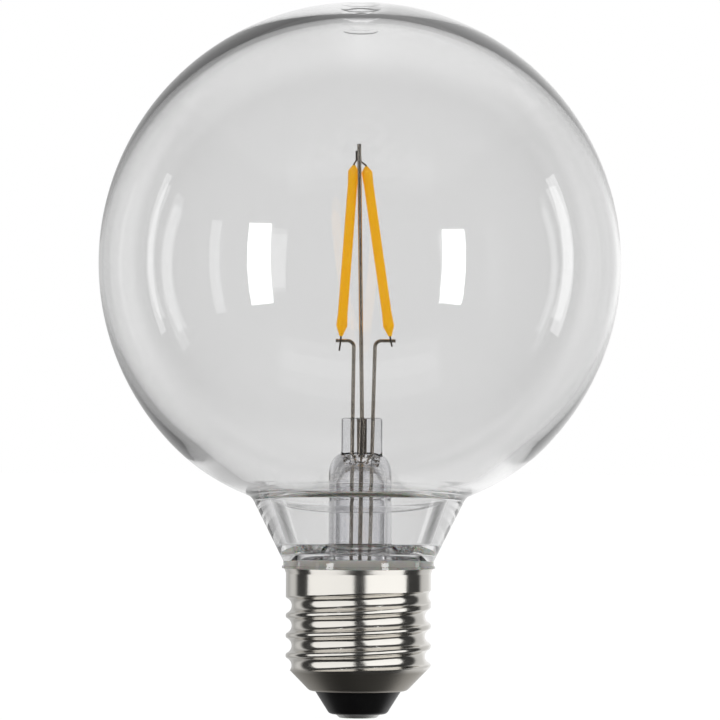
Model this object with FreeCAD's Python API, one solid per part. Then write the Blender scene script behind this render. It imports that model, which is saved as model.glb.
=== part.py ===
import FreeCAD, Part
import math
import os

# Clear globe lamp with two light filaments and a large screw cap, in millimetres.
# The origin is the centre of the end contact's face, and +Z runs up the lamp's axis.
# +X is to the viewer's right and -Y is towards the viewer.

# End contact and insulator
CONTACT_FACE_R = 3.35
CONTACT_EDGE_R = 4.1
CONTACT_PLATE = 0.7
CONTACT_NECK_R = 1.6
CONTACT_NECK = 1.2
CONTACT_ROUND = 0.5
CONTACT_HOLE_FLOOR = 0.5
INSULATOR_NOSE = 4.2
INSULATOR_FOOT_R = 5.2
INSULATOR_FOOT_ROUND = 1.0
INSULATOR_TOP_R = 7.85
INSULATOR_FLANGE = 2.95
INSULATOR_BORE_R = 0.6
BOARD_POCKET = 1.5

# Screw shell, rolled from thin sheet
SHELL_R = 13.2
SHELL_WALL = 0.3
SHELL_HEIGHT = 22.2
SHELL_HOLE_GAP = 0.1
TAPER_FOOT_R = 8.82
TAPER_HEIGHT = 4.5
TAPER_FOOT_ROUND = 1.3
TAPER_TOP_ROUND = 0.6
RIM_FLARE = 0.3
RIM_FLARE_HEIGHT = 0.9
THREAD_PITCH = 3.629
THREAD_DEPTH = 1.1
THREAD_CREST_R = 0.6
THREAD_LAND = 0.3
THREAD_TURNS = 4.25
THREAD_TOP_BELOW_RIM = 5.87
THREAD_END_ANGLE = 270.0
LEAD_OUT_ANGLE = 180.0
LEAD_OUT_RISE = 0.15
GROOVE_STEP_ANGLE = 15.0
CUTTER_MARGIN = 1.0

# Globe
GLOBE_R = 47.5
WALL_EQUATOR = 0.75
WALL_POLE = 2.4
WALL_BOWL = 2.2
BOWL_R = 38.7
BOWL_START_ANGLE = 45.7
NECK_ANGLE = 26.5
NECK_HEIGHT = 11.65
NECK_CORNER_ROUND = 2.0
FOOT_OVERHANG = 0.5
FOOT_HEIGHT = 1.3
LIP_OVERHANG = 0.25
LIP_THICKNESS = 0.5
SPIGOT_LENGTH = 3.1
SPIGOT_GAP = 0.2
SPIGOT_WALL = 0.95
BORE_STEP = 1.45
BORE_STEP_RISE = 1.8
BORE_ROUND = 0.5
NECK_INNER_ANGLE = 19.5
NECK_INNER_ROUND = 1.5
SHOULDER_R = 20.0
SHOULDER_WIDTH = 4.8
SHOULDER_EDGE_ROUND = 2.0
GATE_MARK_R = 2.25
GATE_MARK_DEPTH = 0.15
INNER_MARK_R = 3.25
INNER_MARK_DEPTH = 0.15

# Cement between the neck, the stem's flare and the shell
CEMENT_FLOOR = 0.8
CEMENT_INNER_WALL = 1.1
CEMENT_SHELF_R = 7.5
CEMENT_SHELF = 1.6
CEMENT_TOP_BELOW_RIM = 0.15

# Glass stem
FLARE_RISE = 3.3
FLARE_THICKNESS = 1.2
FLARE_GAP = 0.15
FLARE_ROUND = 1.4
TUBE_R = 5.73
TUBE_WALL = 1.2
TUBE_OFFSET_X = 0.23
TUBE_HEIGHT = 16.0
SHOULDER_ROUND = 2.9
PRESS_WIDTH = 7.5
PRESS_DEPTH = 4.2
PRESS_HEIGHT = 6.35
PRESS_OFFSET_X = 0.5
PRESS_ROUND = 0.6
RIDGE_WIDTH = 1.9
RIDGE_STAND = 0.6
RIDGE_DROP = 1.1

# Wires
WIRE_R = 0.35
POST_R = 0.38
SEAL_GAP = 0.02
WELD_GAP = 0.01
LEFT_PRESS_X = -1.18
LEFT_FOOT_X = -1.45
LEFT_HOOK_X = -1.02
RIGHT_PRESS_X = 2.5
RIGHT_FOOT_X = 2.0
RIGHT_HOOK_X = 2.86
POST_PRESS_X = 0.51
POST_FOOT_X = 0.2
POST_TOP_X = -0.22
POST_FOOT_RISE = 0.4
HOOK_RISE = 14.8
HOOK_BEND = 1.2
LEFT_HOOK_REACH = 3.31
RIGHT_HOOK_REACH = 3.71
HOOK_OVERHANG = 0.9
SOFT_BEND = 30.0

# Light filaments and their pins
FILAMENT_LENGTH = 32.95
FILAMENT_R = 0.9
FOOT_BULGE_R = 1.04
HEAD_BULGE_R = 1.02
FILAMENT_TIP_R = 0.3
FOOT_TAPER = 2.0
HEAD_TAPER = 1.1
BULGE_FADE = 2.4
FILAMENT_LIFT = 0.85
LEFT_HEAD_X = -1.15
RIGHT_HEAD_X = 1.07
HEAD_Y = 1.15
PIN_R = 0.165
PIN_SOCKET = 1.2
LEFT_TAIL = 1.95
RIGHT_TAIL = 1.15
TAIL_SWAY = 0.25
LEFT_PIN_ANGLE = 160.0
RIGHT_PIN_ANGLE = 60.0
LEFT_PIN_RISE = 2.7
RIGHT_PIN_RISE = 1.9
PIN_CROSSING = 0.9
PIN_BEND = 0.25
POST_OVERSHOOT = 4.1

# Driver board and what is soldered to it
BOARD_WIDTH = 15.0
BOARD_THICKNESS = 1.0
BOARD_TONGUE_WIDTH = 8.0
BOARD_LIFT = 0.3
BOARD_HEIGHT = 18.0
BOARD_GAP = 0.05
LEAD_OVERLAP = 3.0
CONTACT_WIRE_LAP = 3.5
SHELL_WIRE_X = -5.5
SHELL_WIRE_TOP = 5.0
SHELL_WIRE_LIFT = 0.45
SHELL_WIRE_BEND = 1.0
SHELL_WIRE_GAP = 0.12
CHIP_WIDTH = 3.9
CHIP_BODY = 1.5
CHIP_STANDOFF = 0.1
CHIP_LEG_REACH = 1.0
CHIP_LEG_WIDTH = 0.4
CHIP_LEG_THICKNESS = 0.2
CHIP_CHAMFER = 0.15
RECTIFIER_LENGTH = 4.7
RECTIFIER_PITCH = 2.54
RECTIFIER_LEGS = 2
RECTIFIER_X = 3.9
RECTIFIER_Z = 3.6
DRIVER_CHIP_LENGTH = 4.9
DRIVER_CHIP_PITCH = 1.27
DRIVER_CHIP_LEGS = 4
DRIVER_CHIP_X = -3.8
DRIVER_CHIP_Z = 9.3
CAPACITOR_R = 4.0
CAPACITOR_LENGTH = 11.0
CAPACITOR_Z = 1.8
CAPACITOR_CRIMP = 0.3
CAPACITOR_PIN_PITCH = 3.5
COMPONENT_PIN_R = 0.3
COMPONENT_BEND = 0.5
COMPONENT_GAP = 0.1
CAPACITOR_PIN_DROP = 0.9
RESISTOR_R = 1.1
RESISTOR_LENGTH = 5.0
RESISTOR_X = 4.4
RESISTOR_Z = 10.0
RESISTOR_PIN_REACH = 1.1
RESISTOR_ROUND = 0.4
FILM_WIDTH = 7.0
FILM_DEPTH = 3.0
FILM_HEIGHT = 4.0
FILM_Z = 13.5
FILM_ROUND = 0.5
FILM_PIN_PITCH = 5.0

# Heights and radii that follow from the sizes above
AXIS_FOOT = FreeCAD.Vector(0, 0, 0)
UP = FreeCAD.Vector(0, 0, 1)
SHELL_BOTTOM = CONTACT_PLATE + INSULATOR_NOSE
SHELL_FLOOR = SHELL_BOTTOM + SHELL_WALL
SHELL_RIM = SHELL_BOTTOM + SHELL_HEIGHT
SHELL_INNER_R = SHELL_R - SHELL_WALL
SHELL_HOLE_R = INSULATOR_TOP_R + SHELL_HOLE_GAP
TAPER_SLOPE = math.atan2(TAPER_HEIGHT, SHELL_R - TAPER_FOOT_R)
TAPER_INNER_R = TAPER_FOOT_R - SHELL_WALL * math.tan(TAPER_SLOPE / 2)
INSULATOR_TOP = SHELL_FLOOR + INSULATOR_FLANGE
SPIGOT_R = SHELL_INNER_R - SPIGOT_GAP
NECK_BORE_R = SPIGOT_R - SPIGOT_WALL
SPIGOT_BOTTOM = SHELL_RIM - SPIGOT_LENGTH
FLARE_TOP = SHELL_RIM + FLARE_RISE
FLARE_BOTTOM = FLARE_TOP - FLARE_THICKNESS
TUBE_TOP = FLARE_TOP + TUBE_HEIGHT
PRESS_TOP = TUBE_TOP + PRESS_HEIGHT
HOOK_Z = PRESS_TOP + HOOK_RISE
BOARD_FRONT = WIRE_R + SEAL_GAP
BOARD_BACK = BOARD_FRONT + BOARD_THICKNESS
BOARD_BOTTOM = INSULATOR_TOP + BOARD_LIFT
BOARD_TOP = BOARD_BOTTOM + BOARD_HEIGHT


def at(r, z):
    return FreeCAD.Vector(r, 0, z)


def rounded_wire(corners, closed):
    """A wire through corners given as (point, radius), each corner rounded by a tangent arc."""
    count = len(corners)
    starts, ends, arcs = [], [], []
    for i, (point, radius) in enumerate(corners):
        if radius == 0 or (not closed and i in (0, count - 1)):
            starts.append(point)
            ends.append(point)
            arcs.append(None)
            continue
        back = (corners[i - 1][0] - point).normalize()
        ahead = (corners[(i + 1) % count][0] - point).normalize()
        half = back.getAngle(ahead) / 2
        middle = (back + ahead).normalize()
        start = point + back * (radius / math.tan(half))
        end = point + ahead * (radius / math.tan(half))
        crown = point + middle * (radius / math.sin(half) - radius)
        starts.append(start)
        ends.append(end)
        arcs.append(Part.Arc(start, crown, end).toShape())
    edges = []
    for i in range(count):
        if arcs[i]:
            edges.append(arcs[i])
        if i < count - 1 or closed:
            edges.append(Part.makeLine(ends[i], starts[(i + 1) % count]))
    return Part.Wire(edges)


def turned(corners):
    """A solid of revolution about Z from (r, z) or (r, z, corner radius) corners."""
    outline = [(at(c[0], c[1]), c[2] if len(c) > 2 else 0) for c in corners]
    return Part.Face(rounded_wire(outline, True)).revolve(AXIS_FOOT, UP, 360)


def bent_wire(corners, radius):
    """A round wire along straight runs joined by tangent arcs."""
    path = rounded_wire(corners, False)
    start = corners[0][0]
    direction = corners[1][0] - start
    section = Part.Face(Part.Wire(Part.makeCircle(radius, start, direction)))
    return path.makePipe(section)


def block(x, y, z, width, depth, height):
    """A box centred on x, with its nearest face at y and its lowest face at z."""
    return Part.makeBox(width, depth, height, FreeCAD.Vector(x - width / 2, y, z))


def end_contact():
    """The stamped plate with a short neck and a blind hole that takes the wire."""
    neck_top = CONTACT_PLATE + CONTACT_NECK
    wire_hole = WIRE_R + SEAL_GAP
    return turned(
        [
            (0, 0),
            (CONTACT_FACE_R, 0, CONTACT_ROUND),
            (CONTACT_EDGE_R, CONTACT_PLATE),
            (CONTACT_NECK_R, CONTACT_PLATE),
            (CONTACT_NECK_R, neck_top),
            (wire_hole, neck_top),
            (wire_hole, CONTACT_HOLE_FLOOR),
            (0, CONTACT_HOLE_FLOOR),
        ]
    )


def insulator():
    """The black cone between contact and shell, with a flange inside the shell's taper."""
    neck_r = CONTACT_NECK_R + BOARD_GAP
    neck_top = CONTACT_PLATE + CONTACT_NECK + BOARD_GAP
    flange_foot_r = TAPER_INNER_R - SHELL_WALL
    flange_top_r = flange_foot_r + INSULATOR_FLANGE / math.tan(TAPER_SLOPE)
    body = turned(
        [
            (neck_r, CONTACT_PLATE),
            (INSULATOR_FOOT_R, CONTACT_PLATE, INSULATOR_FOOT_ROUND),
            (INSULATOR_TOP_R, SHELL_BOTTOM),
            (INSULATOR_TOP_R, SHELL_FLOOR),
            (flange_foot_r, SHELL_FLOOR, TAPER_FOOT_ROUND - SHELL_WALL),
            (flange_top_r, INSULATOR_TOP),
            (INSULATOR_BORE_R, INSULATOR_TOP),
            (INSULATOR_BORE_R, neck_top),
            (neck_r, neck_top),
        ]
    )
    pocket = block(
        0,
        BOARD_FRONT - BOARD_GAP,
        INSULATOR_TOP - BOARD_POCKET,
        BOARD_TONGUE_WIDTH + 2 * BOARD_GAP,
        BOARD_THICKNESS + 2 * BOARD_GAP,
        BOARD_POCKET + CUTTER_MARGIN,
    )
    return body.cut(pocket)


def groove_cutter(surface_r, offset):
    """The helical groove of the rolled thread, cut into a cylinder of surface_r.

    Crest and root are arcs that meet in a tangent. An inner face uses the same centres, with
    offset as the sheet's thickness. Past the last full turn the groove runs out.
    """
    half_pitch = THREAD_PITCH / 2
    axis_gap = (half_pitch**2 + THREAD_DEPTH**2) / (2 * THREAD_DEPTH)
    half_land = THREAD_LAND / 2
    apex_rise = THREAD_CREST_R - math.sqrt(THREAD_CREST_R**2 - half_land**2)
    crest_axis_r = SHELL_R + apex_rise - THREAD_CREST_R
    root_axis_r = crest_axis_r + axis_gap - THREAD_DEPTH
    flank = math.acos((root_axis_r - crest_axis_r) / axis_gap)
    crest_arc = THREAD_CREST_R - offset
    root_arc = axis_gap - THREAD_CREST_R + offset
    land = math.acos((surface_r - crest_axis_r) / crest_arc) / 2
    land_r = crest_axis_r + crest_arc * math.cos(land)
    land_z = half_pitch - crest_arc * math.sin(land)
    outside_r = surface_r + CUTTER_MARGIN

    def section(turn):
        """The groove's outline at turn, in degrees past the end of the full thread."""
        share = max(0, turn / LEAD_OUT_ANGLE)
        rise = (THREAD_DEPTH + LEAD_OUT_RISE) * share**2 * (3 - 2 * share)
        angle = math.radians(THREAD_END_ANGLE + turn)
        middle_z = SHELL_RIM - THREAD_TOP_BELOW_RIM + THREAD_PITCH * turn / 360

        def put(r, z):
            x = (r + rise) * math.cos(angle)
            y = (r + rise) * math.sin(angle)
            return FreeCAD.Vector(x, y, middle_z + z)

        def arc(axis_r, axis_z, radius, first, last):
            directions = (first, (first + last) / 2, last)
            points = [put(axis_r + radius * math.cos(a), axis_z + radius * math.sin(a)) for a in directions]
            return Part.Arc(*points).toShape()

        return Part.Wire(
            [
                arc(crest_axis_r, half_pitch, crest_arc, -land, -flank),
                arc(root_axis_r, 0, root_arc, math.pi - flank, math.pi + flank),
                arc(crest_axis_r, -half_pitch, crest_arc, flank, land),
                Part.makeLine(put(land_r, -land_z), put(outside_r, -land_z)),
                Part.makeLine(put(outside_r, -land_z), put(outside_r, land_z)),
                Part.makeLine(put(outside_r, land_z), put(land_r, land_z)),
            ]
        )

    first_turn = -360 * THREAD_TURNS
    steps = round((LEAD_OUT_ANGLE - first_turn) / GROOVE_STEP_ANGLE)
    turns = [first_turn + i * GROOVE_STEP_ANGLE for i in range(steps + 1)]
    return Part.makeLoft([section(turn) for turn in turns], True)


def threaded_bar(surface_r, offset, foot_z, top_z):
    """A round bar of surface_r with the thread's groove cut into it."""
    bar = Part.makeCylinder(surface_r, top_z - foot_z, at(0, foot_z))
    return bar.cut(groove_cutter(surface_r, offset))


def rim_cone(surface_r, top_z):
    """The cone by which a face of surface_r opens out to the shell's rim, run on to top_z."""
    foot_z = SHELL_RIM - RIM_FLARE_HEIGHT
    top_r = surface_r + RIM_FLARE * (top_z - foot_z) / RIM_FLARE_HEIGHT
    return Part.makeCone(surface_r, top_r, top_z - foot_z, at(0, foot_z))


def screw_shell():
    """The thin cap: a plain collar, a rolled thread on both faces and a tapered foot."""
    taper_top = SHELL_BOTTOM + TAPER_HEIGHT
    inner_top = taper_top + SHELL_WALL * math.tan((math.pi / 2 - TAPER_SLOPE) / 2)
    bore_top = SHELL_RIM + CUTTER_MARGIN
    tapered_outside = turned(
        [
            (0, SHELL_BOTTOM),
            (TAPER_FOOT_R, SHELL_BOTTOM, TAPER_FOOT_ROUND),
            (SHELL_R, taper_top, TAPER_TOP_ROUND),
            (SHELL_R, SHELL_RIM),
            (0, SHELL_RIM),
        ]
    )
    tapered_inside = turned(
        [
            (0, SHELL_FLOOR),
            (TAPER_INNER_R, SHELL_FLOOR, TAPER_FOOT_ROUND - SHELL_WALL),
            (SHELL_INNER_R, inner_top, TAPER_TOP_ROUND - SHELL_WALL),
            (SHELL_INNER_R, bore_top),
            (0, bore_top),
        ]
    )
    threaded_outside = threaded_bar(SHELL_R, 0, SHELL_BOTTOM, SHELL_RIM)
    threaded_inside = threaded_bar(SHELL_INNER_R, SHELL_WALL, SHELL_FLOOR, bore_top)
    outside = threaded_outside.common(tapered_outside).fuse(rim_cone(SHELL_R, SHELL_RIM))
    inside = threaded_inside.common(tapered_inside)
    hole = Part.makeCylinder(SHELL_HOLE_R, SHELL_HEIGHT, at(0, SHELL_BOTTOM - CUTTER_MARGIN))
    return outside.cut(inside).cut(rim_cone(SHELL_INNER_R, bore_top)).cut(hole)


def rounded_rings(shape, rounds):
    """A turned shape with its ring edges at the given (height, radius) pairs rounded."""
    for z, radius in rounds:
        rings = [e for e in shape.Edges if abs(e.BoundBox.ZMax - z) + e.BoundBox.ZLength < SEAL_GAP]
        shape = shape.makeFillet(radius, rings)
    return shape


def globe():
    """The blown globe: a sphere, a tighter bowl below it, a conical neck and a spigot.

    Its inside follows two half ellipses, then a flatter shoulder and a steeper neck, so that
    the wall is thick where the bowl turns into the neck.
    """
    slope = math.radians(NECK_ANGLE)
    foot_r = SHELL_R + FOOT_OVERHANG
    lip_r = foot_r + LIP_OVERHANG
    lip_top = SHELL_RIM + LIP_THICKNESS
    cone_foot = at(foot_r, SHELL_RIM + FOOT_HEIGHT)
    along = at(math.sin(slope), math.cos(slope))
    outward = at(math.cos(slope), -math.sin(slope))
    throat = cone_foot + along * (NECK_HEIGHT / math.cos(slope))

    start = math.radians(BOWL_START_ANGLE)
    bowl_axis_r = (GLOBE_R - BOWL_R) * math.sin(start)
    bowl_z = throat.z + math.sqrt(BOWL_R**2 - (throat.x - bowl_axis_r) ** 2)
    centre_z = bowl_z + (GLOBE_R - BOWL_R) * math.cos(start)
    bowl_centre = at(bowl_axis_r, bowl_z)
    bowl_top = at(GLOBE_R * math.sin(start), centre_z - GLOBE_R * math.cos(start))

    to_cone = cone_foot + outward * NECK_CORNER_ROUND - bowl_centre
    drop = to_cone.dot(along)
    reach = BOWL_R + NECK_CORNER_ROUND
    run = -drop - math.sqrt(drop**2 - to_cone.dot(to_cone) + reach**2)
    corner_centre = cone_foot + outward * NECK_CORNER_ROUND + along * run
    cone_top = cone_foot + along * run
    to_corner = (corner_centre - bowl_centre).normalize()
    bowl_foot = bowl_centre + to_corner * BOWL_R
    corner_middle = (cone_top + bowl_foot) * 0.5 - corner_centre
    corner_point = corner_centre + corner_middle.normalize() * NECK_CORNER_ROUND
    bowl_middle = ((bowl_top + bowl_foot) * 0.5 - bowl_centre).normalize()
    pole = at(0, centre_z + GLOBE_R)

    outline = [
        Part.Arc(pole, at(GLOBE_R, centre_z), bowl_top).toShape(),
        Part.Arc(bowl_top, bowl_centre + bowl_middle * BOWL_R, bowl_foot).toShape(),
        Part.Arc(bowl_foot, corner_point, cone_top).toShape(),
    ]
    lower = [
        cone_top,
        cone_foot,
        at(foot_r, lip_top),
        at(lip_r, lip_top),
        at(lip_r, SHELL_RIM),
        at(SPIGOT_R, SHELL_RIM),
        at(SPIGOT_R, SPIGOT_BOTTOM),
        at(0, SPIGOT_BOTTOM),
        pole,
    ]
    outline += [Part.makeLine(a, b) for a, b in zip(lower, lower[1:])]
    body = Part.Face(Part.Wire(outline)).revolve(AXIS_FOOT, UP, 360)

    equator_r = GLOBE_R - WALL_EQUATOR
    pole_r = GLOBE_R - WALL_POLE
    bowl_inside = bowl_foot + (bowl_centre - bowl_foot).normalize() * WALL_BOWL
    bowl_depth = (centre_z - bowl_inside.z) / math.sqrt(1 - (bowl_inside.x / equator_r) ** 2)
    brim_r = bowl_foot.x + SHOULDER_WIDTH
    brim_depth = bowl_depth * math.sqrt(1 - (brim_r / equator_r) ** 2)
    brim = at(brim_r, centre_z - brim_depth)
    brim_slope = math.atan2(bowl_depth**2 * brim_r, equator_r**2 * brim_depth)
    shoulder_centre = brim + at(-math.sin(brim_slope), math.cos(brim_slope)) * SHOULDER_R

    inner_slope = math.radians(NECK_INNER_ANGLE)
    inner_along = at(math.sin(inner_slope), math.cos(inner_slope))
    inner_foot = at(NECK_BORE_R + BORE_STEP, FLARE_TOP + BORE_STEP_RISE)
    to_foot = inner_foot - shoulder_centre
    fall = to_foot.dot(inner_along)
    climb = -fall - math.sqrt(fall**2 - to_foot.dot(to_foot) + SHOULDER_R**2)
    shoulder = inner_foot + inner_along * climb
    shoulder_middle = ((shoulder + brim) * 0.5 - shoulder_centre).normalize()
    shoulder_point = shoulder_centre + shoulder_middle * SHOULDER_R

    centre = at(0, centre_z)
    crown = Part.Ellipse(at(equator_r, centre_z), at(0, centre_z + pole_r), centre)
    bowl = Part.Ellipse(at(equator_r, centre_z), at(0, centre_z + bowl_depth), centre)
    angle = -math.acos(brim_r / equator_r)
    inner_pole = at(0, centre_z + pole_r)
    cut_foot = SPIGOT_BOTTOM - CUTTER_MARGIN
    hollow_outline = [
        Part.makeLine(at(0, cut_foot), at(NECK_BORE_R, cut_foot)),
        Part.makeLine(at(NECK_BORE_R, cut_foot), at(NECK_BORE_R, FLARE_TOP)),
        Part.makeLine(at(NECK_BORE_R, FLARE_TOP), inner_foot),
        Part.makeLine(inner_foot, shoulder),
        Part.Arc(shoulder, shoulder_point, brim).toShape(),
        Part.ArcOfEllipse(bowl, angle, 0).toShape(),
        Part.ArcOfEllipse(crown, 0, math.pi / 2).toShape(),
        Part.makeLine(inner_pole, at(0, cut_foot)),
    ]
    hollow = Part.Face(Part.Wire(hollow_outline)).revolve(AXIS_FOOT, UP, 360)
    rounds = [
        (shoulder.z, SHOULDER_EDGE_ROUND),
        (inner_foot.z, NECK_INNER_ROUND),
        (FLARE_TOP, BORE_ROUND),
    ]
    hollow = rounded_rings(hollow, rounds)
    mark_z = pole.z - GATE_MARK_DEPTH
    inner_mark_z = inner_pole.z - WALL_POLE
    outer_mark = Part.makeCylinder(GATE_MARK_R, WALL_POLE, at(0, mark_z))
    inner_mark = Part.makeCylinder(INNER_MARK_R, WALL_POLE + INNER_MARK_DEPTH, at(0, inner_mark_z))
    return body.cut(hollow).cut(outer_mark).cut(inner_mark)


def neck_cement():
    """The potting ring that holds the spigot in the shell and carries the stem's flare."""
    floor = SPIGOT_BOTTOM - CEMENT_FLOOR
    inner_r = NECK_BORE_R - CEMENT_INNER_WALL
    outer_r = SHELL_INNER_R - SEAL_GAP
    return turned(
        [
            (inner_r, floor),
            (outer_r, floor),
            (outer_r, SHELL_RIM - CEMENT_TOP_BELOW_RIM),
            (SPIGOT_R, SHELL_RIM - CEMENT_TOP_BELOW_RIM),
            (SPIGOT_R, SPIGOT_BOTTOM),
            (NECK_BORE_R, SPIGOT_BOTTOM),
            (NECK_BORE_R, FLARE_BOTTOM),
            (CEMENT_SHELF_R, FLARE_BOTTOM),
            (inner_r, FLARE_BOTTOM - CEMENT_SHELF),
        ]
    )


def lead_path(foot_x, press_x, hook_x, reach):
    """The corners of a lead: up from the board, through the press, then bent over as a hook."""
    return [
        (at(foot_x, BOARD_TOP - LEAD_OVERLAP), 0),
        (at(foot_x, FLARE_BOTTOM), SOFT_BEND),
        (at(press_x, PRESS_TOP), SOFT_BEND),
        (at(hook_x, HOOK_Z), HOOK_BEND),
        (at(hook_x + reach, HOOK_Z), 0),
    ]


LEFT_LEAD = lead_path(LEFT_FOOT_X, LEFT_PRESS_X, LEFT_HOOK_X, -LEFT_HOOK_REACH)
RIGHT_LEAD = lead_path(RIGHT_FOOT_X, RIGHT_PRESS_X, RIGHT_HOOK_X, RIGHT_HOOK_REACH)


def filament_line(lead, head_x, side):
    """The foot and head of a filament, and the point where its pin crosses the hook."""
    tip_x = lead[-1][0].x
    crossing_y = -(WIRE_R + PIN_R + WELD_GAP)
    crossing = FreeCAD.Vector(tip_x - side * HOOK_OVERHANG, crossing_y, HOOK_Z)
    span_x = head_x - crossing.x
    span_y = HEAD_Y - crossing.y
    length = FILAMENT_LENGTH + FILAMENT_LIFT
    span_z = math.sqrt(length**2 - span_x**2 - span_y**2)
    head = crossing + FreeCAD.Vector(span_x, span_y, span_z)
    foot = crossing + (head - crossing) * (FILAMENT_LIFT / length)
    return crossing, foot, head


LEFT_LINE = filament_line(LEFT_LEAD, LEFT_HEAD_X, -1)
RIGHT_LINE = filament_line(RIGHT_LEAD, RIGHT_HEAD_X, 1)
POST_TOP = (LEFT_LINE[2].z + RIGHT_LINE[2].z) / 2 + POST_OVERSHOOT
POST = [
    (at(POST_FOOT_X, FLARE_BOTTOM + POST_FOOT_RISE), 0),
    (at(POST_PRESS_X, PRESS_TOP), SOFT_BEND),
    (at(POST_TOP_X, POST_TOP), 0),
]


def filament(line):
    """A silicone-coated strip as one bead, thicker near its ends, with a socket for each pin."""
    foot, head = line[1], line[2]
    bead = turned(
        [
            (0, 0),
            (FILAMENT_TIP_R, 0),
            (FOOT_BULGE_R, FOOT_TAPER, FOOT_TAPER / 2),
            (FILAMENT_R, FOOT_TAPER + BULGE_FADE, BULGE_FADE),
            (FILAMENT_R, FILAMENT_LENGTH - HEAD_TAPER - BULGE_FADE, BULGE_FADE),
            (HEAD_BULGE_R, FILAMENT_LENGTH - HEAD_TAPER, HEAD_TAPER / 2),
            (FILAMENT_TIP_R, FILAMENT_LENGTH),
            (0, FILAMENT_LENGTH),
        ]
    )
    socket_r = PIN_R + SEAL_GAP
    bead = bead.cut(Part.makeCylinder(socket_r, PIN_SOCKET, at(0, 0)))
    bead = bead.cut(Part.makeCylinder(socket_r, PIN_SOCKET, at(0, FILAMENT_LENGTH - PIN_SOCKET)))
    turn = FreeCAD.Rotation(UP, head - foot)
    return bead.transformGeometry(FreeCAD.Placement(foot, turn).toMatrix())


def lower_pin(line, side, tail):
    """The pin out of a filament's foot, welded across the front of its hook, with a short tail."""
    crossing, foot, head = line
    inward = (head - foot).normalize()
    end = crossing + FreeCAD.Vector(side * TAIL_SWAY, 0, -tail)
    corners = [(foot + inward * PIN_SOCKET, 0), (crossing, PIN_BEND), (end, 0)]
    return bent_wire(corners, PIN_R)


def upper_pin(line, angle, rise):
    """The pin out of a filament's head, drawn in and welded along the centre post."""
    foot, head = line[1], line[2]
    inward = (foot - head).normalize()
    lean = (POST[2][0] - POST[1][0]).normalize()
    outward = FreeCAD.Vector(math.cos(math.radians(angle)), math.sin(math.radians(angle)), 0)
    stand = outward * (POST_R + PIN_R + WELD_GAP)

    def beside_post(z):
        along = lean * ((z - PRESS_TOP) / lean.z)
        return POST[1][0] + along + stand

    corners = [
        (head + inward * PIN_SOCKET, 0),
        (head - inward * PIN_BEND, PIN_BEND / 2),
        (beside_post(head.z + PIN_CROSSING), PIN_BEND),
        (beside_post(head.z + rise), 0),
    ]
    return bent_wire(corners, PIN_R)


def stem():
    """The pressed glass stem: flare, tube, domed shoulder and the press that seals the wires."""
    flare_r = NECK_BORE_R - FLARE_GAP
    bore_r = TUBE_R - TUBE_WALL
    bore_top = TUBE_TOP - TUBE_WALL
    flare = Part.makeCylinder(flare_r, FLARE_THICKNESS, at(0, FLARE_BOTTOM))
    tube = turned(
        [
            (0, FLARE_BOTTOM),
            (TUBE_R + FLARE_ROUND, FLARE_BOTTOM),
            (TUBE_R + FLARE_ROUND, FLARE_TOP),
            (TUBE_R, FLARE_TOP + FLARE_ROUND),
            (TUBE_R, TUBE_TOP, SHOULDER_ROUND),
            (0, TUBE_TOP),
        ]
    )
    bore = turned(
        [
            (0, FLARE_BOTTOM - CUTTER_MARGIN),
            (bore_r, FLARE_BOTTOM - CUTTER_MARGIN),
            (bore_r, bore_top, SHOULDER_ROUND),
            (0, bore_top),
        ]
    )
    tube.translate(at(TUBE_OFFSET_X, 0))
    bore.translate(at(TUBE_OFFSET_X, 0))
    press = block(
        PRESS_OFFSET_X,
        -PRESS_DEPTH / 2,
        TUBE_TOP - TUBE_WALL,
        PRESS_WIDTH,
        PRESS_DEPTH,
        PRESS_HEIGHT + TUBE_WALL,
    )
    corners = [edge for edge in press.Edges if edge.BoundBox.ZMax > PRESS_TOP - SEAL_GAP]
    press = press.makeFillet(PRESS_ROUND, corners)
    ridge_y = PRESS_DEPTH / 2 + RIDGE_STAND - RIDGE_WIDTH / 2
    body = flare.fuse(tube).fuse(press)
    for side in (-1, 1):
        foot = FreeCAD.Vector(PRESS_OFFSET_X, side * ridge_y, TUBE_TOP - RIDGE_DROP)
        body = body.fuse(Part.makeCylinder(RIDGE_WIDTH / 2, PRESS_HEIGHT + RIDGE_DROP, foot))
    body = body.cut(bore)
    for path, radius in ((LEFT_LEAD, WIRE_R), (RIGHT_LEAD, WIRE_R), (POST, POST_R)):
        body = body.cut(bent_wire(path, radius + SEAL_GAP))
    return body.removeSplitter()


def contact_wire():
    """The straight wire from the end contact to the foot of the board."""
    height = BOARD_BOTTOM + CONTACT_WIRE_LAP - CONTACT_HOLE_FLOOR
    return Part.makeCylinder(WIRE_R, height, at(0, CONTACT_HOLE_FLOOR))


def shell_wire():
    """The wire from the board to the inside of the shell's taper."""
    low_z = INSULATOR_TOP + SHELL_WIRE_LIFT
    taper_r = TAPER_INNER_R + (low_z - WIRE_R - SHELL_FLOOR) / math.tan(TAPER_SLOPE)
    corners = [
        (at(SHELL_WIRE_X, BOARD_BOTTOM + SHELL_WIRE_TOP), 0),
        (at(SHELL_WIRE_X, low_z), SHELL_WIRE_BEND),
        (at(-taper_r + SHELL_WIRE_GAP, low_z), 0),
    ]
    return bent_wire(corners, WIRE_R)


def driver_board():
    """The upright board, with a tongue that stands in the insulator's pocket."""
    board = block(0, BOARD_FRONT, BOARD_BOTTOM, BOARD_WIDTH, BOARD_THICKNESS, BOARD_HEIGHT)
    tongue = block(
        0,
        BOARD_FRONT,
        INSULATOR_TOP - BOARD_POCKET,
        BOARD_TONGUE_WIDTH,
        BOARD_THICKNESS,
        BOARD_POCKET + BOARD_LIFT,
    )
    return board.fuse(tongue).removeSplitter()


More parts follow.
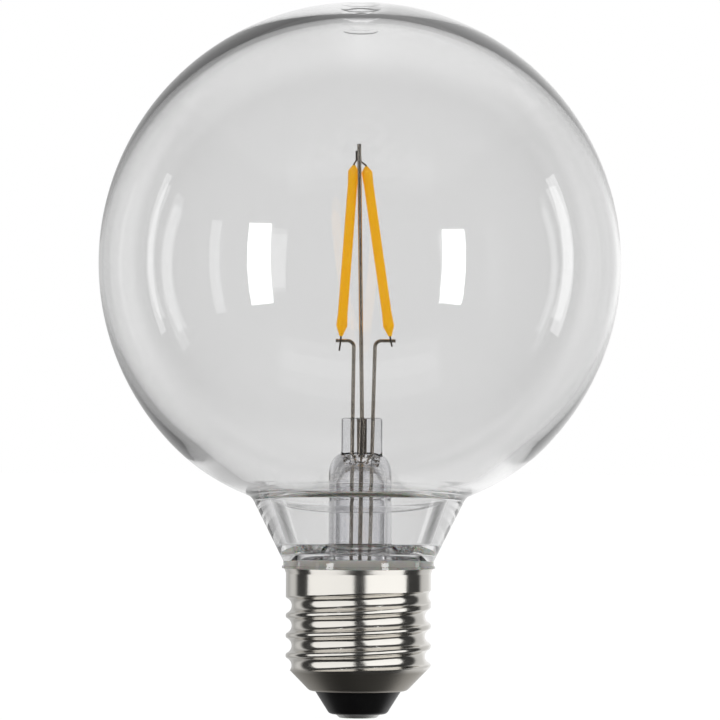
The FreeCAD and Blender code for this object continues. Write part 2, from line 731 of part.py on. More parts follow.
def chip(x, z, length, legs, pitch):
    """A flat moulded chip on the board's front, with gull-wing legs along both long sides."""
    top_y = BOARD_FRONT - CHIP_STANDOFF - CHIP_BODY
    body = block(x, top_y, z, CHIP_WIDTH, CHIP_BODY, length)
    body = body.makeChamfer(CHIP_CHAMFER, body.Edges)
    leg_y = BOARD_FRONT - CHIP_STANDOFF - CHIP_BODY / 2
    first_z = z + length / 2 - pitch * (legs - 1) / 2 - CHIP_LEG_WIDTH / 2
    for side in (-1, 1):
        knee_x = x + side * (CHIP_WIDTH + CHIP_LEG_REACH) / 2
        foot_x = x + side * (CHIP_WIDTH / 2 + CHIP_LEG_REACH)
        for i in range(legs):
            leg_z = first_z + i * pitch
            arm_x = knee_x - side * CHIP_CHAMFER
            arm = block(arm_x, leg_y, leg_z, CHIP_LEG_REACH, CHIP_LEG_THICKNESS, CHIP_LEG_WIDTH)
            shin_x = foot_x - side * (CHIP_CHAMFER + CHIP_LEG_THICKNESS / 2)
            shin_depth = BOARD_FRONT - leg_y
            shin = block(shin_x, leg_y, leg_z, CHIP_LEG_THICKNESS, shin_depth, CHIP_LEG_WIDTH)
            body = body.fuse(arm).fuse(shin)
    return body.removeSplitter()


def smoothing_capacitor():
    """The electrolytic can behind the board, with its two pins bent to the board's back."""
    z = BOARD_BOTTOM + CAPACITOR_Z
    y = BOARD_BACK + COMPONENT_GAP + CAPACITOR_R
    can = turned(
        [
            (0, z),
            (CAPACITOR_R, z, CAPACITOR_CRIMP),
            (CAPACITOR_R, z + CAPACITOR_LENGTH, CAPACITOR_CRIMP),
            (0, z + CAPACITOR_LENGTH),
        ]
    )
    can.translate(FreeCAD.Vector(0, y, 0))
    for side in (-1, 1):
        x = side * CAPACITOR_PIN_PITCH / 2
        corners = [
            (FreeCAD.Vector(x, y, z + CAPACITOR_CRIMP), 0),
            (FreeCAD.Vector(x, y, z - CAPACITOR_PIN_DROP), COMPONENT_BEND),
            (FreeCAD.Vector(x, BOARD_BACK, z - CAPACITOR_PIN_DROP), 0),
        ]
        can = can.fuse(bent_wire(corners, COMPONENT_PIN_R))
    return can


def fusible_resistor():
    """The small upright resistor on the board's front, with a pin bent in at each end."""
    z = BOARD_BOTTOM + RESISTOR_Z
    y = BOARD_FRONT - COMPONENT_GAP - RESISTOR_R
    body = turned(
        [
            (0, z),
            (RESISTOR_R, z, RESISTOR_ROUND),
            (RESISTOR_R, z + RESISTOR_LENGTH, RESISTOR_ROUND),
            (0, z + RESISTOR_LENGTH),
        ]
    )
    body.translate(FreeCAD.Vector(RESISTOR_X, y, 0))
    middle = FreeCAD.Vector(RESISTOR_X, y, z + RESISTOR_LENGTH / 2)
    for side in (-1, 1):
        bend_z = middle.z + side * (RESISTOR_LENGTH / 2 + RESISTOR_PIN_REACH)
        corners = [
            (middle, 0),
            (FreeCAD.Vector(RESISTOR_X, y, bend_z), COMPONENT_BEND),
            (FreeCAD.Vector(RESISTOR_X, BOARD_FRONT, bend_z), 0),
        ]
        body = body.fuse(bent_wire(corners, COMPONENT_PIN_R))
    return body


def film_capacitor():
    """The dipped film capacitor behind the board's top, on two straight pins."""
    z = BOARD_BOTTOM + FILM_Z
    y = BOARD_BACK + COMPONENT_GAP
    body = block(0, y, z, FILM_WIDTH, FILM_DEPTH, FILM_HEIGHT)
    body = body.makeFillet(FILM_ROUND, body.Edges)
    for side in (-1, 1):
        foot = FreeCAD.Vector(side * FILM_PIN_PITCH / 2, BOARD_BACK, z + FILM_HEIGHT / 2)
        pin = Part.makeCylinder(COMPONENT_PIN_R, COMPONENT_GAP + FILM_ROUND, foot, FreeCAD.Vector(0, 1, 0))
        body = body.fuse(pin)
    return body


PARTS = {
    "end_contact": end_contact(),
    "insulator": insulator(),
    "screw_shell": screw_shell(),
    "neck_cement": neck_cement(),
    "globe": globe(),
    "stem": stem(),
    "centre_post": bent_wire(POST, POST_R),
    "left_lead_wire": bent_wire(LEFT_LEAD, WIRE_R),
    "right_lead_wire": bent_wire(RIGHT_LEAD, WIRE_R),
    "left_filament": filament(LEFT_LINE),
    "right_filament": filament(RIGHT_LINE),
    "left_lower_pin": lower_pin(LEFT_LINE, -1, LEFT_TAIL),
    "right_lower_pin": lower_pin(RIGHT_LINE, 1, RIGHT_TAIL),
    "left_upper_pin": upper_pin(LEFT_LINE, LEFT_PIN_ANGLE, LEFT_PIN_RISE),
    "right_upper_pin": upper_pin(RIGHT_LINE, RIGHT_PIN_ANGLE, RIGHT_PIN_RISE),
    "contact_wire": contact_wire(),
    "shell_wire": shell_wire(),
    "driver_board": driver_board(),
    "bridge_rectifier": chip(
        RECTIFIER_X, BOARD_BOTTOM + RECTIFIER_Z, RECTIFIER_LENGTH, RECTIFIER_LEGS, RECTIFIER_PITCH
    ),
    "driver_chip": chip(
        DRIVER_CHIP_X,
        BOARD_BOTTOM + DRIVER_CHIP_Z,
        DRIVER_CHIP_LENGTH,
        DRIVER_CHIP_LEGS,
        DRIVER_CHIP_PITCH,
    ),
    "smoothing_capacitor": smoothing_capacitor(),
    "fusible_resistor": fusible_resistor(),
    "film_capacitor": film_capacitor(),
}

os.makedirs("parts", exist_ok=True)
for name, shape in PARTS.items():
    solid = shape.Solids[0] if len(shape.Solids) == 1 else shape
    solid.exportStep("parts/" + name + ".step")
    box = solid.BoundBox
    print(
        f"{name:20s} solids {len(shape.Solids)} valid {solid.isValid()} volume {solid.Volume:10.2f} "
        f"x {box.XMin:.2f} {box.XMax:.2f} y {box.YMin:.2f} {box.YMax:.2f} z {box.ZMin:.2f} {box.ZMax:.2f}"
    )
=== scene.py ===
import math

import bmesh
import bpy
from mathutils import Matrix, Vector


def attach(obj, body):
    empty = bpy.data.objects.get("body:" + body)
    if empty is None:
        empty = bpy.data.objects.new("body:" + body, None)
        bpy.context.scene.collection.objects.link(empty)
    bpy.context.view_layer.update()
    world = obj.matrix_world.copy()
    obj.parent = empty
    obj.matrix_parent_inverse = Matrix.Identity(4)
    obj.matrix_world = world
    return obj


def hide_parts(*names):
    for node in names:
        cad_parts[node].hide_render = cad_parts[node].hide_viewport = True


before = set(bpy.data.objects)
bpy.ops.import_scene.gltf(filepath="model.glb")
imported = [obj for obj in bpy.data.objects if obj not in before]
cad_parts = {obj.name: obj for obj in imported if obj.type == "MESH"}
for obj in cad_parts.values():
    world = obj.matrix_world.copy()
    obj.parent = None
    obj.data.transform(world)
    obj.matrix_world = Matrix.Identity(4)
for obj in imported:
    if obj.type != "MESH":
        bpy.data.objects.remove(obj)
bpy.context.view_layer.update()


# Camera: a long lens a little below the lamp's middle, looking slightly up. Its small roll
# sets the lamp's cap a little left of its top.
MM = 0.001
CAMERA_DISTANCE = 800 * MM
CAMERA_ELEVATION = math.radians(-1.29)
CAMERA_ROLL = math.radians(0.25)
SENSOR_WIDTH = 36
VIEW_SIZE = 131.03 * MM
VIEW_MIDDLE = Vector((0.1, 0, 65.0)) * MM

towards = Vector((0, -math.cos(CAMERA_ELEVATION), math.sin(CAMERA_ELEVATION)))
level = Vector((1, 0, 0))
upright = towards.cross(level)
right = level * math.cos(CAMERA_ROLL) + upright * math.sin(CAMERA_ROLL)
up = upright * math.cos(CAMERA_ROLL) - level * math.sin(CAMERA_ROLL)
camera = bpy.data.objects.new("camera", bpy.data.cameras.new("camera"))
camera.data.sensor_width = SENSOR_WIDTH
camera.data.lens = SENSOR_WIDTH * CAMERA_DISTANCE / VIEW_SIZE
camera.data.clip_end = 20
turn = Matrix((right, up, towards)).transposed()
camera.matrix_world = Matrix.Translation(VIEW_MIDDLE + towards * CAMERA_DISTANCE) @ turn.to_4x4()
bpy.context.scene.collection.objects.link(camera)
bpy.context.scene.camera = camera
bpy.context.scene.view_settings.view_transform = "Standard"

# Light that is caught in the globe's wall takes many bounces to come out. With fewer, the
# crown shows a black ring.
bpy.context.scene.cycles.max_bounces = 24
bpy.context.scene.cycles.glossy_bounces = 16
bpy.context.scene.cycles.transmission_bounces = 24


# Room: white where the camera sees it directly. Bent and mirrored light meets a studio with
# darker parts instead, and matt surfaces get soft white light.
def linear(colour):
    """An sRGB hex colour as linear RGBA."""
    parts = [int(colour[i : i + 2], 16) / 255 for i in (1, 3, 5)]
    return [c / 12.92 if c <= 0.04045 else ((c + 0.055) / 1.055) ** 2.4 for c in parts] + [1]


def add(tree, kind, settings=(), **inputs):
    """A node with its settings, and its inputs as values or as links from other nodes' outputs."""
    node = tree.nodes.new("ShaderNode" + kind)
    for name, value in dict(settings).items():
        setattr(node, name, value)
    for name, value in inputs.items():
        socket = node.inputs[int(name[1:])] if name[1:].isdigit() else node.inputs[name.replace("_", " ")]
        if isinstance(value, bpy.types.NodeSocket):
            tree.links.new(value, socket)
        else:
            socket.default_value = value
    return node


def ramp(tree, factor, *stops):
    """A grey ramp through (place, level) stops."""
    node = add(tree, "ValToRGB", Fac=factor)
    for place, grey in stops[2:]:
        node.color_ramp.elements.new(place)
    for element, (place, grey) in zip(node.color_ramp.elements, stops):
        element.position = place
        element.color = (grey, grey, grey, 1)
    return node.outputs["Color"]


world = bpy.data.worlds.new("studio")
world.use_nodes = True
world.cycles.sampling_method = "NONE"
bpy.context.scene.world = world
tree = world.node_tree
tree.nodes.clear()
path = add(tree, "LightPath").outputs
around = add(tree, "TexCoord").outputs["Generated"]
x, depth, z = add(tree, "SeparateXYZ", Vector=around).outputs
seen_white = add(tree, "Background", Color=linear("#FFFFFF"), Strength=1.0)

# Bent light meets a grey band at the left and at the right, which draws the clear edges.
across = add(tree, "Math", {"operation": "ABSOLUTE"}, _0=x).outputs[0]
bands = ramp(tree, across, (0.22, 1.0), (0.34, 0.35), (0.5, 0.35), (0.64, 1.0))
bent = add(tree, "Background", Color=bands)

# Mirrored light meets a dark room with a wall behind the lamp that is pale also high up, and
# a little shaded at the left.
behind = ramp(tree, depth, (0.38, 0.05), (0.5, 0.7), (0.82, 0.8), (0.93, 1.0))
half_depth = add(tree, "Math", {"operation": "MULTIPLY"}, _0=depth, _1=0.5).outputs[0]
above = add(tree, "Math", {"operation": "MULTIPLY_ADD"}, _0=z, _1=0.5, _2=half_depth).outputs[0]
high_wall = ramp(tree, above, (0.5, 0.0), (0.63, 0.9))
wall = add(tree, "Math", {"operation": "MAXIMUM"}, _0=behind, _1=high_wall)
sideways = add(tree, "Math", {"operation": "MULTIPLY_ADD"}, _0=x, _1=0.5, _2=0.5).outputs[0]
left_shade = ramp(tree, sideways, (0.12, 1.0), (0.22, 0.6), (0.43, 0.6), (0.5, 1.0))
mirrored = add(tree, "Background", Color=wall.outputs[0], Strength=left_shade)

soft = add(tree, "Background", Color=linear("#FFFFFF"), Strength=1.05)
view = add(tree, "MixShader", _0=path["Is Camera Ray"], _1=bent.outputs[0], _2=seen_white.outputs[0])
is_mirrored = add(tree, "Math", {"operation": "GREATER_THAN"}, _0=path["Glossy Depth"], _1=0.5)
is_matt = add(tree, "Math", {"operation": "GREATER_THAN"}, _0=path["Diffuse Depth"], _1=0.5)
view = add(tree, "MixShader", _0=is_mirrored.outputs[0], _1=view.outputs[0], _2=mirrored.outputs[0])
view = add(tree, "MixShader", _0=is_matt.outputs[0], _1=view.outputs[0], _2=soft.outputs[0])
add(tree, "OutputWorld", Surface=view.outputs[0])


# Lamps: two wide panels for the screw cap. The glass has two windows and a curtain beside the
# left one, which its face mirrors, and weak strips, a ceiling and a table for its tones.
GLOBE_MIDDLE = Vector((0, 0, 82.57 * MM))
PANEL_DISTANCE = 1.9
WINDOW_DISTANCE = 1.5
WINDOW_ECHO = 0.2


def panel(name, angle, rise, distance, width, height, radiance):
    """A flat soft lamp that faces the globe, its angle measured from the camera's side."""
    turn, tilt = math.radians(angle), math.radians(rise)
    away = Vector((math.sin(turn) * math.cos(tilt), -math.cos(turn) * math.cos(tilt), math.sin(tilt)))
    light = bpy.data.lights.new(name, "AREA")
    light.shape = "RECTANGLE"
    light.size, light.size_y = width, height
    light.energy = radiance * math.pi * width * height
    lamp = bpy.data.objects.new(name, light)
    lamp.location = GLOBE_MIDDLE + away * distance
    lamp.rotation_euler = away.to_track_quat("Z", "Y").to_euler()
    bpy.context.scene.collection.objects.link(lamp)
    lamp.visible_camera = False
    return lamp


def shine_on(lamp, *pieces):
    """Keeps a lamp's light to the pieces it is set up for."""
    group = bpy.data.collections.new(lamp.name)
    for piece in pieces:
        group.objects.link(piece)
    lamp.light_linking.receiver_collection = group


def faint_inside(lamp):
    """Shows a lamp at full strength in the globe's outer face, and as a faint echo inside."""
    lamp.data.use_nodes = True
    tree = lamp.data.node_tree
    tree.nodes.clear()
    path = add(tree, "LightPath").outputs
    outside = add(tree, "Math", {"operation": "LESS_THAN"}, _0=path["Transmission Depth"], _1=0.5)
    echoed = add(tree, "Math", {"operation": "GREATER_THAN"}, _0=path["Glossy Depth"], _1=0.5)
    echo = add(tree, "Math", {"operation": "MULTIPLY"}, _0=echoed.outputs[0], _1=WINDOW_ECHO)
    share = add(tree, "Math", {"operation": "MAXIMUM"}, _0=outside.outputs[0], _1=echo.outputs[0])
    glow = add(tree, "Emission", Strength=share.outputs[0])
    add(tree, "OutputLight", Surface=glow.outputs[0])
    return lamp


# Each lamp has its angle and rise in degrees, its distance, width and height in metres, and
# its radiance.
cap = [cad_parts[name] for name in ("screw_shell", "insulator", "end_contact")]
for wide in (
    panel("left panel", -47, -3, PANEL_DISTANCE, 3.2, 3.0, 1.2),
    panel("right panel", 46.5, -3, PANEL_DISTANCE, 2.7, 3.0, 1.35),
):
    wide.visible_transmission = False
    shine_on(wide, *cap)
glass_lamps = [
    faint_inside(panel("left window", -43.7, -2.1, WINDOW_DISTANCE, 0.28, 0.86, 9.0)),
    faint_inside(panel("right window", 40.6, -3.0, WINDOW_DISTANCE, 0.28, 0.8, 9.0)),
    faint_inside(panel("left curtain", -65, -2.5, WINDOW_DISTANCE, 0.14, 0.9, 1.4)),
    panel("left strip", -103, 3, WINDOW_DISTANCE, 0.12, 1.2, 1.5),
    panel("right strip", 102, 3, WINDOW_DISTANCE, 0.2, 1.2, 2.0),
    panel("overhead", 0, 90, WINDOW_DISTANCE, 3.2, 3.6, 0.17),
    panel("table", 0, -54, WINDOW_DISTANCE, 1.8, 0.5, 0.4),
]


# Floor: a pale sheet under the end contact, so light that only a faint shadow shows on it.
FLOOR_HALF = 12
GLOW_SHARE = 0.92

bm = bmesh.new()
bmesh.ops.create_grid(bm, x_segments=1, y_segments=1, size=FLOOR_HALF)
mesh = bpy.data.meshes.new("floor")
bm.to_mesh(mesh)
bm.free()
floor = bpy.data.objects.new("floor", mesh)
bpy.context.scene.collection.objects.link(floor)
paper = bpy.data.materials.new("pale_paper")
paper.use_nodes = True
paper.cycles.emission_sampling = "NONE"
tree = paper.node_tree
tree.nodes.clear()
path = add(tree, "LightPath").outputs
share = add(tree, "Math", {"operation": "MULTIPLY"}, _0=path["Is Camera Ray"], _1=GLOW_SHARE)
matt = add(tree, "BsdfDiffuse", Color=linear("#F4F4F4"))
white = add(tree, "Emission", Color=linear("#FFFFFF"), Strength=1.05)
sheet = add(tree, "MixShader", _0=share.outputs[0], _1=matt.outputs[0], _2=white.outputs[0])
add(tree, "OutputMaterial", Surface=sheet.outputs[0])
mesh.materials.append(paper)
floor.visible_glossy = False
floor.visible_transmission = False


# Screw cap: thin brass, nickel plated, bright on its collar and thread. The tapered foot is
# duller, and fine rolling marks run around it.
def principled(name, **inputs):
    """A new material of one Principled shader, with its node tree and that shader."""
    material = bpy.data.materials.new(name)
    material.use_nodes = True
    tree = material.node_tree
    tree.nodes.clear()
    gloss = add(tree, "BsdfPrincipled", **inputs)
    add(tree, "OutputMaterial", Surface=gloss.outputs[0])
    return material, tree, gloss


def grain(tree, size, stretch=(1, 1, 1), detail=3.0):
    """Noise in the object's own space, with features of size in millimetres."""
    place = add(tree, "TexCoord").outputs["Object"]
    scaled = add(tree, "Mapping", Vector=place, Scale=stretch).outputs[0]
    return add(tree, "TexNoise", Vector=scaled, Scale=1 / (size * MM), Detail=detail).outputs["Fac"]


def spread(tree, factor, low, high):
    """A factor of 0 to 1 as a value between low and high."""
    return add(tree, "MapRange", Value=factor, To_Min=low, To_Max=high).outputs["Result"]


def tint(tree, gloss, factor, low, high):
    """Gives a shader a colour that a factor mixes from two hex colours."""
    node = add(tree, "Mix", {"data_type": "RGBA"}, _0=factor, _6=linear(low), _7=linear(high))
    tree.links.new(node.outputs[2], gloss.inputs["Base Color"])


def roughen(tree, gloss, factor, low, high):
    """Gives a shader a roughness that a factor moves between two values."""
    tree.links.new(spread(tree, factor, low, high), gloss.inputs["Roughness"])


def relief(tree, gloss, height, depth):
    """A bump of depth millimetres on a shader."""
    bump = add(tree, "Bump", Strength=1.0, Distance=depth * MM, Height=height)
    tree.links.new(bump.outputs[0], gloss.inputs["Normal"])


def dress(material, *nodes):
    """Gives CAD nodes a material."""
    for name in nodes:
        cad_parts[name].material_slots[0].material = material


DULL_UP_TO = 8.2
BRIGHT_FROM = 9.4

nickel_plate, tree, gloss = principled("nickel_plated_brass", Metallic=1.0)
rolling_marks = grain(tree, 2.0, stretch=(0.25, 0.25, 6.0))
stain = grain(tree, 6.0)
height = add(tree, "SeparateXYZ", Vector=add(tree, "TexCoord").outputs["Object"]).outputs["Z"]
bright = add(
    tree,
    "MapRange",
    {"interpolation_type": "SMOOTHSTEP"},
    Value=height,
    From_Min=DULL_UP_TO * MM,
    From_Max=BRIGHT_FROM * MM,
).outputs["Result"]
tint(tree, gloss, bright, "#A9A49B", "#DAD7D1")
polish = spread(tree, bright, 0.34, 0.16)
worn = add(tree, "Math", {"operation": "MULTIPLY"}, _0=polish, _1=spread(tree, stain, 0.8, 1.2))
tree.links.new(worn.outputs[0], gloss.inputs["Roughness"])
relief(tree, gloss, rolling_marks, 0.004)
dress(nickel_plate, "screw_shell")


# Insulator: black glass, pressed in a mould, with a slightly dull skin.
black_glass, tree, gloss = principled("black_pressed_glass", IOR=1.5)
tint(tree, gloss, grain(tree, 3.0), "#060607", "#0B0B0C")
roughen(tree, gloss, grain(tree, 1.2), 0.3, 0.42)
relief(tree, gloss, grain(tree, 0.4), 0.006)
dress(black_glass, "insulator")


# End contact: a stamped brass plate, tinned, with the shallow waves of the dipped tin.
tinned_brass, tree, gloss = principled("tinned_brass", Metallic=1.0)
tint(tree, gloss, grain(tree, 1.5), "#D9D9D6", "#EFEFEC")
roughen(tree, gloss, grain(tree, 0.6), 0.35, 0.5)
relief(tree, gloss, grain(tree, 0.8), 0.02)
dress(tinned_brass, "end_contact")


# Neck cement: a pale silicone potting that wets the bore of the globe's neck, so it shows
# through the clear wall over the neck's full width.
def finish(name, bm, material, slot, *nodes, crease=35):
    """Turns a bmesh in millimetres into a smooth piece that stands for CAD nodes."""
    bmesh.ops.remove_doubles(bm, verts=bm.verts[:], dist=0.0005)
    bmesh.ops.recalc_face_normals(bm, faces=bm.faces[:])
    bmesh.ops.scale(bm, vec=(MM, MM, MM), verts=bm.verts[:])
    mesh = bpy.data.meshes.new(name)
    bm.to_mesh(mesh)
    bm.free()
    mesh.shade_smooth()
    mesh.set_sharp_from_angle(angle=math.radians(crease))
    mesh.materials.append(material)
    piece = bpy.data.objects.new(name, mesh)
    bpy.context.scene.collection.objects.link(piece)
    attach(piece, "root")
    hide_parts(*nodes)
    return piece


def line(bm, *points):
    """A run of straight edges through (radius, height) points."""
    verts = [bm.verts.new((x, 0, z)) for x, z in points]
    for a, b in zip(verts, verts[1:]):
        bm.edges.new((a, b))


def direction(point, centre):
    """The direction from a centre to a (radius, height) point, in degrees."""
    return math.degrees(math.atan2(point[1] - centre[1], point[0] - centre[0]))


def arc(bm, start, centre, end, steps):
    """An arc from start to end about centre, the short way round, all (radius, height)."""
    sweep = (direction(end, centre) - direction(start, centre) + 180) % 360 - 180
    bmesh.ops.spin(
        bm,
        geom=[bm.verts.new((start[0], 0, start[1]))],
        cent=(centre[0], 0, centre[1]),
        axis=(0, 1, 0),
        angle=math.radians(-sweep),
        steps=steps,
        use_merge=False,
    )


def outline(bm, *corners):
    """Straight runs through (radius, height) or (radius, height, rounding) corners."""
    runs = []
    for i, (x, z, *rounding) in enumerate(corners):
        start = end = here = Vector((x, z))
        if rounding:
            back = (Vector(corners[i - 1][:2]) - here).normalized()
            ahead = (Vector(corners[i + 1][:2]) - here).normalized()
            half = back.angle(ahead) / 2
            start = here + back * rounding[0] / math.tan(half)
            end = here + ahead * rounding[0] / math.tan(half)
            centre = here + (back + ahead).normalized() * rounding[0] / math.sin(half)
            arc(bm, start, centre, end, 12)
        runs.append((start, end))
    for a, b in zip(runs, runs[1:]):
        line(bm, a[1], b[0])


def turn_outline(bm, steps, axis_x=0):
    """Spins the outline drawn so far a full turn about an upright axis."""
    bmesh.ops.remove_doubles(bm, verts=bm.verts[:], dist=0.01)
    bmesh.ops.spin(
        bm,
        geom=bm.verts[:] + bm.edges[:],
        cent=(axis_x, 0, 0),
        axis=(0, 0, 1),
        angle=math.tau,
        steps=steps,
        use_merge=True,
    )


POTTING_R = 12.85
POTTING_BORE_R = 10.65
POTTING_FOOT = 23.2
POTTING_TOP = 26.9
POTTING_BORE_TOP = 27.6
SLOT_OUTER_R = 12.68
SLOT_INNER_R = 11.77
SLOT_FOOT = 23.95
FLARE_SEAT_R = 7.5
FLARE_SEAT = 29.2

potting, tree, gloss = principled("silicone_potting", Subsurface_Weight=0.3, Subsurface_Scale=1.0 * MM)
tint(tree, gloss, grain(tree, 2.5), "#E4E2DA", "#F3F1EA")
roughen(tree, gloss, grain(tree, 1.0), 0.5, 0.7)
relief(tree, gloss, grain(tree, 1.5), 0.05)
bm = bmesh.new()
outline(
    bm,
    (POTTING_BORE_R, POTTING_FOOT),
    (POTTING_R, POTTING_FOOT),
    (POTTING_R, POTTING_TOP),
    (SLOT_OUTER_R, POTTING_TOP),
    (SLOT_OUTER_R, SLOT_FOOT),
    (SLOT_INNER_R, SLOT_FOOT),
)
outline(
    bm,
    (SLOT_INNER_R, SLOT_FOOT),
    (SLOT_INNER_R, FLARE_SEAT),
    (FLARE_SEAT_R, FLARE_SEAT),
    (POTTING_BORE_R, POTTING_BORE_TOP, 0.5),
    (POTTING_BORE_R, POTTING_FOOT),
)
turn_outline(bm, 128)
finish("neck_potting", bm, potting, "cement", "neck_cement")


# Globe: blown clear polycarbonate, a sphere over a tighter bowl and a conical neck, with a
# spigot that stands in the screw cap. Its wall is thin at the equator and thick at the crown
# and at the shoulder, and its mould left a small round mark on each side of the crown.
SPHERE_Z = 82.5715
SPHERE_R = 47.5
MARK_FLOOR = 129.9215
NECK_R = 13.7
NECK_FOOT = 28.4
LIP_R = 13.95
LIP_TOP = 27.6
LIP_FOOT = 27.1
SPIGOT_R = 12.7
SPIGOT_FOOT = 24.0
BORE_R = 11.75
BORE_TOP = 30.4
INNER_R = 46.75
CROWN_DEPTH = 45.1
BOWL_DEPTH = 44.3
INNER_MARK_FLOOR = 127.8215

sphere = (0, SPHERE_Z)
equator, inner_equator = (SPHERE_R, SPHERE_Z), (INNER_R, SPHERE_Z)
mark_corner, mark_rim = (2.2, MARK_FLOOR), (2.25, 130.0182)
bowl_top, bowl_centre, bowl_foot = (33.9954, 49.3968), (6.2981, 76.4255), (20.2273, 40.3191)
waist_centre, neck_top = (20.9471, 38.4532), (19.1573, 39.3456)
neck_bore, shoulder_bend = (13.2, 32.2, 1.5), (16.49, 41.54, 2.0)
shoulder, shoulder_centre, brim = (17.6, 41.86), (9.23, 70.66), (24.0, 44.5548)
inner_mark_corner, inner_mark_rim = (3.2, INNER_MARK_FLOOR), (3.25, 127.562)

bm = bmesh.new()
line(bm, (0, MARK_FLOOR), mark_corner, mark_rim)
arc(bm, mark_rim, sphere, equator, 80)
arc(bm, equator, sphere, bowl_top, 40)
arc(bm, bowl_top, bowl_centre, bowl_foot, 24)
arc(bm, bowl_foot, waist_centre, neck_top, 8)
outline(
    bm,
    neck_top,
    (NECK_R, NECK_FOOT, 0.6),
    (NECK_R, LIP_TOP),
    (LIP_R, LIP_TOP, 0.1),
    (LIP_R, LIP_FOOT, 0.1),
    (SPIGOT_R, LIP_FOOT),
)
outline(
    bm,
    (SPIGOT_R, LIP_FOOT),
    (SPIGOT_R, SPIGOT_FOOT, 0.15),
    (BORE_R, SPIGOT_FOOT, 0.15),
    (BORE_R, BORE_TOP, 0.5),
    neck_bore,
    shoulder_bend,
    shoulder,
)
arc(bm, shoulder, shoulder_centre, brim, 18)

# The inner face is drawn as a part of a sphere and squeezed upright, above and below its
# equator, to the wall's thickness there.
inside = bmesh.new()
arc(inside, (inner_mark_rim[0], SPHERE_Z + 46.637), sphere, inner_equator, 80)
arc(inside, inner_equator, sphere, (brim[0], SPHERE_Z - 40.12), 48)
for vert in inside.verts:
    height = vert.co.z - SPHERE_Z
    vert.co.z = SPHERE_Z + height * (CROWN_DEPTH if height > 0 else BOWL_DEPTH) / INNER_R
mesh = bpy.data.meshes.new("inside")
inside.to_mesh(mesh)
inside.free()
bm.from_mesh(mesh)
line(bm, (0, INNER_MARK_FLOOR), inner_mark_corner, inner_mark_rim)
turn_outline(bm, 224)

# Polycarbonate from a polished mould, faintly grey, with slow waves in its surface.
clear_plastic, tree, gloss = principled("clear_polycarbonate", Roughness=0.0, IOR=1.585)
gloss.inputs["Base Color"].default_value = linear("#F3F3F3")
gloss.inputs["Transmission Weight"].default_value = 1.0
relief(tree, gloss, grain(tree, 9.0, stretch=(1, 1, 0.6), detail=1.0), 0.003)
clear_globe = finish("clear_globe", bm, clear_plastic, "clear_plastic", "globe")


# Stem: lamp glass, a flare and a domed tube, with the flat press that seals the three wires.
# The press and its two ridges are melted into the dome.
def glass_solid(bm):
    """A scratch object of a bmesh in millimetres, for joining."""
    bmesh.ops.remove_doubles(bm, verts=bm.verts[:], dist=0.0005)
    bmesh.ops.recalc_face_normals(bm, faces=bm.faces[:])
    mesh = bpy.data.meshes.new("glass")
    bm.to_mesh(mesh)
    bm.free()
    solid = bpy.data.objects.new("glass", mesh)
    bpy.context.scene.collection.objects.link(solid)
    return solid


def melt(bm, edges, rounding, segments):
    """Rounds edges, as a flame does."""
    bmesh.ops.bevel(
        bm,
        geom=edges,
        offset=rounding,
        offset_type="OFFSET",
        affect="EDGES",
        segments=segments,
        profile=0.5,
        material=-1,
    )


TUBE_X = 0.23
TUBE_SIDE = TUBE_X + 5.73
TUBE_BORE_SIDE = TUBE_X + 4.53
DOME_TOP = 46.4
DOME_BORE_TOP = 45.2
DOME_ROUNDING = 2.9
FLARE_R = 11.6
FLARE_TOP = 30.4
PRESS_X = 0.5
PRESS_SIZE = (7.5, 4.2, 7.45)
PRESS_TOP = 52.75
RIDGE_R = 1.2
RIDGE_LENGTH = 7.2
RIDGE_OFFSET = 1.3
RIDGE_TOP = 52.7

bm = bmesh.new()
outline(
    bm,
    (TUBE_X, DOME_TOP),
    (TUBE_SIDE, DOME_TOP, DOME_ROUNDING),
    (TUBE_SIDE, 31.0, 1.4),
    (FLARE_R, FLARE_TOP, 0.5),
    (FLARE_R, FLARE_SEAT, 0.3),
    (FLARE_SEAT_R, FLARE_SEAT),
)
outline(
    bm,
    (FLARE_SEAT_R, FLARE_SEAT),
    (TUBE_BORE_SIDE, 29.6, 1.5),
    (TUBE_BORE_SIDE, DOME_BORE_TOP, DOME_ROUNDING),
    (TUBE_X, DOME_BORE_TOP),
)
turn_outline(bm, 96, TUBE_X)
tube = glass_solid(bm)

bm = bmesh.new()
bmesh.ops.create_cube(bm, size=1)
bmesh.ops.scale(bm, vec=PRESS_SIZE, verts=bm.verts[:])
melt(bm, bm.edges[:], 0.55, 5)
bmesh.ops.translate(bm, vec=(PRESS_X, 0, PRESS_TOP - PRESS_SIZE[2] / 2), verts=bm.verts[:])
parts = [glass_solid(bm)]
for side in (-1, 1):
    bm = bmesh.new()
    bmesh.ops.create_cone(
        bm, cap_ends=True, segments=32, radius1=RIDGE_R, radius2=RIDGE_R, depth=RIDGE_LENGTH
    )
    rims = [e for e in bm.edges if abs(e.verts[0].co.z - e.verts[1].co.z) < 0.1]
    melt(bm, rims, 0.3, 3)
    ridge_middle = (PRESS_X, side * RIDGE_OFFSET, RIDGE_TOP - RIDGE_LENGTH / 2)
    bmesh.ops.translate(bm, vec=ridge_middle, verts=bm.verts[:])
    parts.append(glass_solid(bm))
for part in parts:
    join = tube.modifiers.new("join", "BOOLEAN")
    join.operation = "UNION"
    join.solver = "EXACT"
    join.object = part
joined = bpy.data.meshes.new_from_object(tube.evaluated_get(bpy.context.evaluated_depsgraph_get()))
for part in [tube] + parts:
    bpy.data.objects.remove(part)
bm = bmesh.new()
bm.from_mesh(joined)

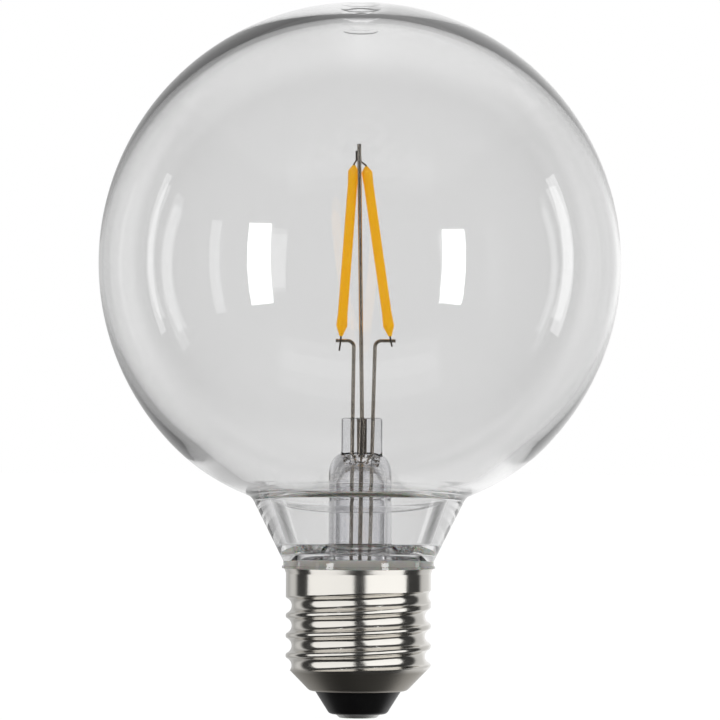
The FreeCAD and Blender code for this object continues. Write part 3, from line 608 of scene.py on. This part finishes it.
# Soda lime glass, drawn and worked in a flame, with slow waves where it was soft.
lamp_glass, tree, gloss = principled("soda_lime_glass", Roughness=0.0, IOR=1.52)
gloss.inputs["Base Color"].default_value = linear("#F3F3F5")
gloss.inputs["Transmission Weight"].default_value = 1.0
relief(tree, gloss, grain(tree, 4.0, detail=1.0), 0.006)
pressed_stem = finish("pressed_stem", bm, lamp_glass, "stem_glass", "stem", crease=30)
for lamp in glass_lamps:
    shine_on(lamp, clear_globe, pressed_stem)


# Post and leads: drawn nickel wire, bright, with faint drawing marks along it.
nickel_wire, tree, gloss = principled("drawn_nickel", Metallic=1.0)
tint(tree, gloss, grain(tree, 3.0), "#CFC4B6", "#E6DDD0")
roughen(tree, gloss, grain(tree, 0.4, stretch=(4, 4, 0.3)), 0.12, 0.26)
dress(nickel_wire, "centre_post", "left_lead_wire", "right_lead_wire")


# Light filaments: a strip in yellow phosphor silicone, moulded soft and slightly uneven. Its small
# emission is a painted glow that brightens the unlit filament.
phosphor, tree, gloss = principled("phosphor_silicone", Subsurface_Weight=0.5, Subsurface_Scale=0.6 * MM)
gloss.inputs["Subsurface Radius"].default_value = (1.0, 0.7, 0.1)
gloss.inputs["Coat Weight"].default_value = 0.5
gloss.inputs["Coat Roughness"].default_value = 0.1
# Painted glow: a weak yellow emission on a filament that is not lit.
gloss.inputs["Emission Color"].default_value = linear("#FFB000")
gloss.inputs["Emission Strength"].default_value = 0.34
tint(tree, gloss, grain(tree, 2.0), "#FFB800", "#FFC400")
roughen(tree, gloss, grain(tree, 0.7), 0.3, 0.45)
relief(tree, gloss, grain(tree, 1.6), 0.06)
dress(phosphor, "left_filament", "right_filament")


# Filament pins: flat steel strip, spot welded to the wires, greyed by the weld's heat.
weld_steel, tree, gloss = principled("welded_steel_pin", Metallic=1.0)
tint(tree, gloss, grain(tree, 0.8), "#6E6259", "#A0968B")
roughen(tree, gloss, grain(tree, 0.3), 0.3, 0.5)
dress(weld_steel, "left_lower_pin", "right_lower_pin", "left_upper_pin", "right_upper_pin")


# Driver: a glass fibre board with its moulded chips, aluminium can, flameproof resistor, dipped
# film capacitor and tinned copper wires, all inside the screw cap.
def driver_part(name, low, high, roughness, size, depth, *nodes):
    """A moulded, dipped or printed material with its own fine grain, given to CAD nodes."""
    material, tree, gloss = principled(name)
    tint(tree, gloss, grain(tree, size), low, high)
    roughen(tree, gloss, grain(tree, size / 3), roughness - 0.08, roughness + 0.08)
    relief(tree, gloss, grain(tree, size / 4), depth)
    dress(material, *nodes)
    return gloss


driver_part("glass_fibre_board", "#1E5A34", "#2A6B3F", 0.4, 1.0, 0.01, "driver_board")
driver_part("moulded_epoxy", "#151516", "#1F1F20", 0.55, 0.5, 0.01, "bridge_rectifier", "driver_chip")
driver_part("aluminium_can_sleeve", "#23262B", "#2E3238", 0.3, 4.0, 0.01, "smoothing_capacitor")
driver_part("flameproof_lacquer", "#5E8C86", "#6F9D96", 0.5, 1.5, 0.02, "fusible_resistor")
driver_part("dipped_epoxy", "#9A3F22", "#B04E2C", 0.3, 3.0, 0.05, "film_capacitor")
tinned = driver_part("tinned_copper", "#C9C8C2", "#DEDDD8", 0.35, 1.0, 0.01, "contact_wire", "shell_wire")
tinned.inputs["Metallic"].default_value = 1.0
